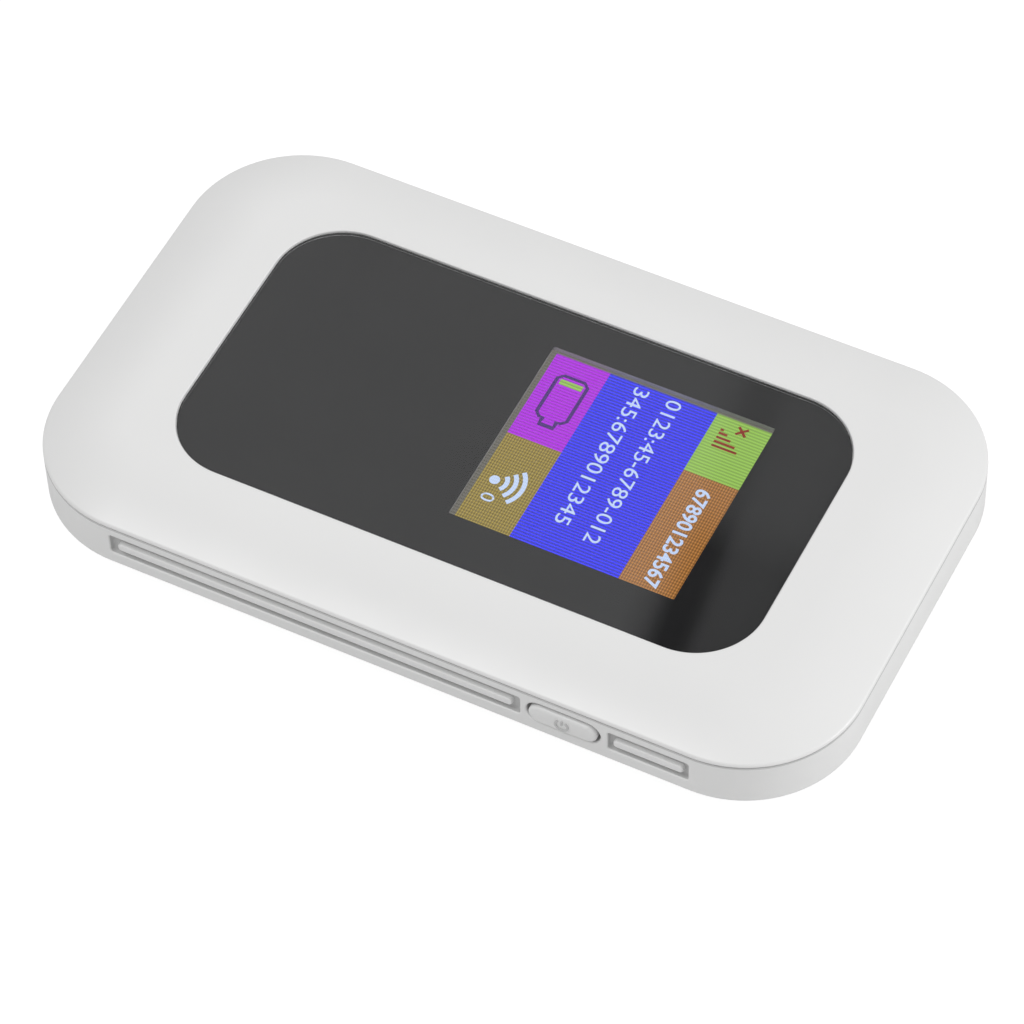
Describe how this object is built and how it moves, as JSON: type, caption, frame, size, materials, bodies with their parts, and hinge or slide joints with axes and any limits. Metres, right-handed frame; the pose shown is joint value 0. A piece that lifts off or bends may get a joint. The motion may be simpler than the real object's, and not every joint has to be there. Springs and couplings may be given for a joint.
{
  "type": "mobile hotspot",
  "caption": "Flat pocket 4G router with a rounded white case, a dark window over a square colour display, a side power key and a removable battery.",
  "frame": {"origin": "centre of the footprint, on the surface that the case lies on", "axes": "+Z out of the front face, +X towards the end above the display's picture, -Y towards the side with the power key"},
  "size_m": [0.1, 0.0599, 0.0122],
  "materials": {
    "cover_plastic": "satin white ABS with a very fine moulded texture",
    "housing_plastic": "satin white ABS",
    "frame_plastic": "matt white moulded plastic",
    "key_plastic": "smooth satin white ABS",
    "window_acrylic": "polished clear acrylic, printed black on its back",
    "display_panel": "colour LCD glass, lit picture",
    "backlight_frame": "moulded white frame with light guide",
    "adhesive": "thin black double-sided tape",
    "foam": "closed-cell foam",
    "flex_circuit": "amber polyimide film",
    "circuit_board": "green solder mask",
    "shield_metal": "tinned steel sheet",
    "chip_resin": "black moulding compound",
    "ceramic_parts": "tan ceramic",
    "inductor_ferrite": "dark ferrite",
    "thermal_silicone": "soft blue silicone",
    "gold_contact": "gold-plated copper alloy",
    "socket_steel": "stamped, polished steel",
    "black_insulator": "moulded black polymer",
    "switch_ivory": "ivory nylon",
    "battery_wrap": "dark grey wrapped pouch cell, blank",
    "sim_plastic": "white card",
    "screw_steel": "blackened steel",
    "label_film": "blank white film"
  },
  "bodies": {
    "chassis": {"lower_housing": "housing_plastic", "inner_frame": "frame_plastic", "top_cover": "cover_plastic", "front_window": "window_acrylic", "window_adhesive": "adhesive", "display_gasket": "foam", "display_glass": "display_panel", "display_backlight": "backlight_frame", "display_tape": "adhesive", "display_cable": "flex_circuit", "main_board": "circuit_board", "baseband_shield": "shield_metal", "radio_shield": "shield_metal", "baseband_chip": "chip_resin", "memory_chip": "chip_resin", "power_chip": "chip_resin", "wifi_chip": "chip_resin", "radio_chip": "chip_resin", "thermal_pad": "thermal_silicone", "board_capacitors": "ceramic_parts", "board_inductors": "inductor_ferrite", "reference_crystal": "shield_metal", "coax_test_sockets": "gold_contact", "usb_shell": "socket_steel", "usb_tongue": "black_insulator", "power_switch": "black_insulator", "reset_switch": "black_insulator", "sim_socket": "black_insulator", "sim_socket_shell": "socket_steel", "battery_connector": "black_insulator", "battery_blades": "gold_contact", "main_antenna": "flex_circuit", "diversity_antenna": "flex_circuit", "wifi_antenna": "flex_circuit", "antenna_springs": "gold_contact", "case_screws": "screw_steel", "device_label": "label_film"},
    "power_key": {"power_key": "key_plastic"},
    "power_plunger": {"power_plunger": "switch_ivory"},
    "reset_plunger": {"reset_plunger": "switch_ivory"},
    "back_cover": {"back_cover": "cover_plastic", "cover_pad": "foam"},
    "battery": {"battery_pack": "battery_wrap", "battery_terminals": "gold_contact"},
    "sim_card": {"sim_card": "sim_plastic", "sim_pads": "gold_contact"}
  },
  "joints": [
    {"name": "power_key_press", "type": "slide", "parent": "chassis", "child": "power_key", "axis": [0, 1, 0], "range_m": [0, 0.00025], "stiffness_N_per_m": 4000},
    {"name": "power_plunger_press", "type": "slide", "parent": "chassis", "child": "power_plunger", "axis": [0, 1, 0], "range_m": [0, 0.00025]},
    {"name": "reset_press", "type": "slide", "parent": "chassis", "child": "reset_plunger", "axis": [0, 0, 1], "range_m": [0, 0.0002], "stiffness_N_per_m": 4000},
    {"name": "back_cover_lift", "type": "slide", "parent": "chassis", "child": "back_cover", "axis": [0, 0, -1], "range_m": [0, 0.012]},
    {"name": "battery_lift", "type": "slide", "parent": "chassis", "child": "battery", "axis": [0, 0, -1], "range_m": [0, 0.006]},
    {"name": "sim_card_slide", "type": "slide", "parent": "chassis", "child": "sim_card", "axis": [0, -1, 0], "range_m": [0, 0.006]}
  ],
  "couplings": [
    {"joint": "power_plunger_press", "follows": "power_key_press", "ratio": 1},
    {"joint": "battery_lift", "follows": "back_cover_lift", "ratio": 0.5}
  ]
}
